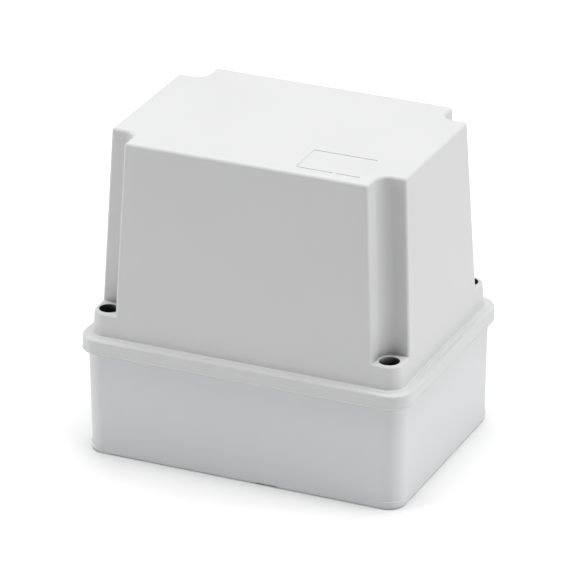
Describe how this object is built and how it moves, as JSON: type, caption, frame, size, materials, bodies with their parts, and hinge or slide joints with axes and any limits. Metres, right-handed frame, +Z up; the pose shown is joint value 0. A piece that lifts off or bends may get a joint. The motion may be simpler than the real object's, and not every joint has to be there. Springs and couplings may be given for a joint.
{
  "type": "electrical junction box",
  "caption": "Surface-mounted light grey plastic junction box with a deep tapered screw-down lid, gasket, and a rail of screw terminals inside.",
  "frame": {"origin": "centre of the base's underside, on the wall or surface that the box stands on", "axes": "+X along the long side to the right, +Y across to the back, +Z up through the lid"},
  "size_m": [0.1388, 0.1002, 0.1318],
  "materials": {
    "lid_plastic": "fine matt moulded light grey plastic",
    "base_plastic": "fine matt moulded light grey plastic, slightly bluish",
    "seal_rubber": "matt black elastomer",
    "plug_plastic": "smooth light grey insulating plastic",
    "stainless_steel": "bright turned stainless steel",
    "zinc_steel": "zinc plated steel",
    "brass": "machined brass",
    "tinned_copper": "tinned copper",
    "terminal_grey": "moulded grey polyamide",
    "terminal_blue": "moulded blue polyamide",
    "marker_white": "moulded white polyamide",
    "terminal_earth": "moulded polyamide, green with a yellow band"
  },
  "bodies": {
    "base_assembly": {"base": "base_plastic", "threaded_insert_front_left": "brass", "threaded_insert_front_right": "brass", "threaded_insert_back_right": "brass", "threaded_insert_back_left": "brass", "din_rail": "zinc_steel", "rail_screw_left": "zinc_steel", "rail_screw_right": "zinc_steel", "terminal_housing_1": "terminal_grey", "terminal_housing_2": "terminal_grey", "terminal_housing_3": "terminal_grey", "terminal_housing_4": "terminal_blue", "terminal_housing_5": "terminal_earth", "current_bar_1": "tinned_copper", "current_bar_2": "tinned_copper", "current_bar_3": "tinned_copper", "current_bar_4": "tinned_copper", "current_bar_5": "tinned_copper", "terminal_end_plate": "terminal_grey", "terminal_marker_strip": "marker_white", "end_stop_left": "terminal_grey", "end_stop_right": "terminal_grey"},
    "lid_assembly": {"lid": "lid_plastic", "lid_gasket": "seal_rubber"},
    "seal_front_left": {"screw_seal_front_left": "seal_rubber"},
    "screw_front_left": {"lid_screw_front_left": "stainless_steel"},
    "seal_front_right": {"screw_seal_front_right": "seal_rubber"},
    "screw_front_right": {"lid_screw_front_right": "stainless_steel"},
    "seal_back_right": {"screw_seal_back_right": "seal_rubber"},
    "screw_back_right": {"lid_screw_back_right": "stainless_steel"},
    "seal_back_left": {"screw_seal_back_left": "seal_rubber"},
    "screw_back_left": {"lid_screw_back_left": "stainless_steel"},
    "plug_front_left": {"fixing_plug_front_left": "plug_plastic"},
    "plug_front_right": {"fixing_plug_front_right": "plug_plastic"},
    "plug_back_right": {"fixing_plug_back_right": "plug_plastic"},
    "plug_back_left": {"fixing_plug_back_left": "plug_plastic"},
    "cage_1_front": {"clamp_cage_1_front": "zinc_steel"},
    "clamp_1_front": {"clamp_screw_1_front": "zinc_steel"},
    "cage_1_back": {"clamp_cage_1_back": "zinc_steel"},
    "clamp_1_back": {"clamp_screw_1_back": "zinc_steel"},
    "cage_2_front": {"clamp_cage_2_front": "zinc_steel"},
    "clamp_2_front": {"clamp_screw_2_front": "zinc_steel"},
    "cage_2_back": {"clamp_cage_2_back": "zinc_steel"},
    "clamp_2_back": {"clamp_screw_2_back": "zinc_steel"},
    "cage_3_front": {"clamp_cage_3_front": "zinc_steel"},
    "clamp_3_front": {"clamp_screw_3_front": "zinc_steel"},
    "cage_3_back": {"clamp_cage_3_back": "zinc_steel"},
    "clamp_3_back": {"clamp_screw_3_back": "zinc_steel"},
    "cage_4_front": {"clamp_cage_4_front": "zinc_steel"},
    "clamp_4_front": {"clamp_screw_4_front": "zinc_steel"},
    "cage_4_back": {"clamp_cage_4_back": "zinc_steel"},
    "clamp_4_back": {"clamp_screw_4_back": "zinc_steel"},
    "cage_5_front": {"clamp_cage_5_front": "zinc_steel"},
    "clamp_5_front": {"clamp_screw_5_front": "zinc_steel"},
    "cage_5_back": {"clamp_cage_5_back": "zinc_steel"},
    "clamp_5_back": {"clamp_screw_5_back": "zinc_steel"}
  },
  "joints": [
    {"name": "lid_lift", "type": "slide", "parent": "base_assembly", "child": "lid_assembly", "axis": [0, 0, 1], "range_m": [0, 0.12]},
    {"name": "lid_screw_front_left_rise", "type": "slide", "parent": "lid_assembly", "child": "seal_front_left", "axis": [0, 0, 1], "range_m": [0, 0.0084]},
    {"name": "lid_screw_front_left_turn", "type": "hinge", "parent": "seal_front_left", "child": "screw_front_left", "pos_m": [-0.0589, -0.0398, 0.0509], "axis": [0, 0, 1], "range_deg": [0, 4320]},
    {"name": "lid_screw_front_right_rise", "type": "slide", "parent": "lid_assembly", "child": "seal_front_right", "axis": [0, 0, 1], "range_m": [0, 0.0084]},
    {"name": "lid_screw_front_right_turn", "type": "hinge", "parent": "seal_front_right", "child": "screw_front_right", "pos_m": [0.0589, -0.0398, 0.0509], "axis": [0, 0, 1], "range_deg": [0, 4320]},
    {"name": "lid_screw_back_right_rise", "type": "slide", "parent": "lid_assembly", "child": "seal_back_right", "axis": [0, 0, 1], "range_m": [0, 0.0084]},
    {"name": "lid_screw_back_right_turn", "type": "hinge", "parent": "seal_back_right", "child": "screw_back_right", "pos_m": [0.0589, 0.0398, 0.0509], "axis": [0, 0, 1], "range_deg": [0, 4320]},
    {"name": "lid_screw_back_left_rise", "type": "slide", "parent": "lid_assembly", "child": "seal_back_left", "axis": [0, 0, 1], "range_m": [0, 0.0084]},
    {"name": "lid_screw_back_left_turn", "type": "hinge", "parent": "seal_back_left", "child": "screw_back_left", "pos_m": [-0.0589, 0.0398, 0.0509], "axis": [0, 0, 1], "range_deg": [0, 4320]},
    {"name": "fixing_plug_front_left_pull", "type": "slide", "parent": "base_assembly", "child": "plug_front_left", "axis": [0, 0, 1], "range_m": [0, 0.012]},
    {"name": "fixing_plug_front_right_pull", "type": "slide", "parent": "base_assembly", "child": "plug_front_right", "axis": [0, 0, 1], "range_m": [0, 0.012]},
    {"name": "fixing_plug_back_right_pull", "type": "slide", "parent": "base_assembly", "child": "plug_back_right", "axis": [0, 0, 1], "range_m": [0, 0.012]},
    {"name": "fixing_plug_back_left_pull", "type": "slide", "parent": "base_assembly", "child": "plug_back_left", "axis": [0, 0, 1], "range_m": [0, 0.012]},
    {"name": "clamp_screw_1_front_turn", "type": "hinge", "parent": "base_assembly", "child": "clamp_1_front", "pos_m": [-0.0166, -0.011, 0.045], "axis": [0, 0, 1], "range_deg": [-2160, 0]},
    {"name": "clamp_cage_1_front_rise", "type": "slide", "parent": "base_assembly", "child": "cage_1_front", "axis": [0, 0, 1], "range_m": [0, 0.003]},
    {"name": "clamp_screw_1_back_turn", "type": "hinge", "parent": "base_assembly", "child": "clamp_1_back", "pos_m": [-0.0166, 0.011, 0.045], "axis": [0, 0, 1], "range_deg": [-2160, 0]},
    {"name": "clamp_cage_1_back_rise", "type": "slide", "parent": "base_assembly", "child": "cage_1_back", "axis": [0, 0, 1], "range_m": [0, 0.003]},
    {"name": "clamp_screw_2_front_turn", "type": "hinge", "parent": "base_assembly", "child": "clamp_2_front", "pos_m": [-0.0081, -0.011, 0.045], "axis": [0, 0, 1], "range_deg": [-2160, 0]},
    {"name": "clamp_cage_2_front_rise", "type": "slide", "parent": "base_assembly", "child": "cage_2_front", "axis": [0, 0, 1], "range_m": [0, 0.003]},
    {"name": "clamp_screw_2_back_turn", "type": "hinge", "parent": "base_assembly", "child": "clamp_2_back", "pos_m": [-0.0081, 0.011, 0.045], "axis": [0, 0, 1], "range_deg": [-2160, 0]},
    {"name": "clamp_cage_2_back_rise", "type": "slide", "parent": "base_assembly", "child": "cage_2_back", "axis": [0, 0, 1], "range_m": [0, 0.003]},
    {"name": "clamp_screw_3_front_turn", "type": "hinge", "parent": "base_assembly", "child": "clamp_3_front", "pos_m": [0.0004, -0.011, 0.045], "axis": [0, 0, 1], "range_deg": [-2160, 0]},
    {"name": "clamp_cage_3_front_rise", "type": "slide", "parent": "base_assembly", "child": "cage_3_front", "axis": [0, 0, 1], "range_m": [0, 0.003]},
    {"name": "clamp_screw_3_back_turn", "type": "hinge", "parent": "base_assembly", "child": "clamp_3_back", "pos_m": [0.0004, 0.011, 0.045], "axis": [0, 0, 1], "range_deg": [-2160, 0]},
    {"name": "clamp_cage_3_back_rise", "type": "slide", "parent": "base_assembly", "child": "cage_3_back", "axis": [0, 0, 1], "range_m": [0, 0.003]},
    {"name": "clamp_screw_4_front_turn", "type": "hinge", "parent": "base_assembly", "child": "clamp_4_front", "pos_m": [0.0089, -0.011, 0.045], "axis": [0, 0, 1], "range_deg": [-2160, 0]},
    {"name": "clamp_cage_4_front_rise", "type": "slide", "parent": "base_assembly", "child": "cage_4_front", "axis": [0, 0, 1], "range_m": [0, 0.003]},
    {"name": "clamp_screw_4_back_turn", "type": "hinge", "parent": "base_assembly", "child": "clamp_4_back", "pos_m": [0.0089, 0.011, 0.045], "axis": [0, 0, 1], "range_deg": [-2160, 0]},
    {"name": "clamp_cage_4_back_rise", "type": "slide", "parent": "base_assembly", "child": "cage_4_back", "axis": [0, 0, 1], "range_m": [0, 0.003]},
    {"name": "clamp_screw_5_front_turn", "type": "hinge", "parent": "base_assembly", "child": "clamp_5_front", "pos_m": [0.0174, -0.011, 0.045], "axis": [0, 0, 1], "range_deg": [-2160, 0]},
    {"name": "clamp_cage_5_front_rise", "type": "slide", "parent": "base_assembly", "child": "cage_5_front", "axis": [0, 0, 1], "range_m": [0, 0.003]},
    {"name": "clamp_screw_5_back_turn", "type": "hinge", "parent": "base_assembly", "child": "clamp_5_back", "pos_m": [0.0174, 0.011, 0.045], "axis": [0, 0, 1], "range_deg": [-2160, 0]},
    {"name": "clamp_cage_5_back_rise", "type": "slide", "parent": "base_assembly", "child": "cage_5_back", "axis": [0, 0, 1], "range_m": [0, 0.003]}
  ],
  "couplings": [
    {"joint": "lid_screw_front_left_turn", "follows": "lid_screw_front_left_rise", "rad_per_m": 8976},
    {"joint": "lid_screw_front_right_turn", "follows": "lid_screw_front_right_rise", "rad_per_m": 8976},
    {"joint": "lid_screw_back_right_turn", "follows": "lid_screw_back_right_rise", "rad_per_m": 8976},
    {"joint": "lid_screw_back_left_turn", "follows": "lid_screw_back_left_rise", "rad_per_m": 8976},
    {"joint": "clamp_screw_1_front_turn", "follows": "clamp_cage_1_front_rise", "rad_per_m": -12566},
    {"joint": "clamp_screw_1_back_turn", "follows": "clamp_cage_1_back_rise", "rad_per_m": -12566},
    {"joint": "clamp_screw_2_front_turn", "follows": "clamp_cage_2_front_rise", "rad_per_m": -12566},
    {"joint": "clamp_screw_2_back_turn", "follows": "clamp_cage_2_back_rise", "rad_per_m": -12566},
    {"joint": "clamp_screw_3_front_turn", "follows": "clamp_cage_3_front_rise", "rad_per_m": -12566},
    {"joint": "clamp_screw_3_back_turn", "follows": "clamp_cage_3_back_rise", "rad_per_m": -12566},
    {"joint": "clamp_screw_4_front_turn", "follows": "clamp_cage_4_front_rise", "rad_per_m": -12566},
    {"joint": "clamp_screw_4_back_turn", "follows": "clamp_cage_4_back_rise", "rad_per_m": -12566},
    {"joint": "clamp_screw_5_front_turn", "follows": "clamp_cage_5_front_rise", "rad_per_m": -12566},
    {"joint": "clamp_screw_5_back_turn", "follows": "clamp_cage_5_back_rise", "rad_per_m": -12566}
  ]
}
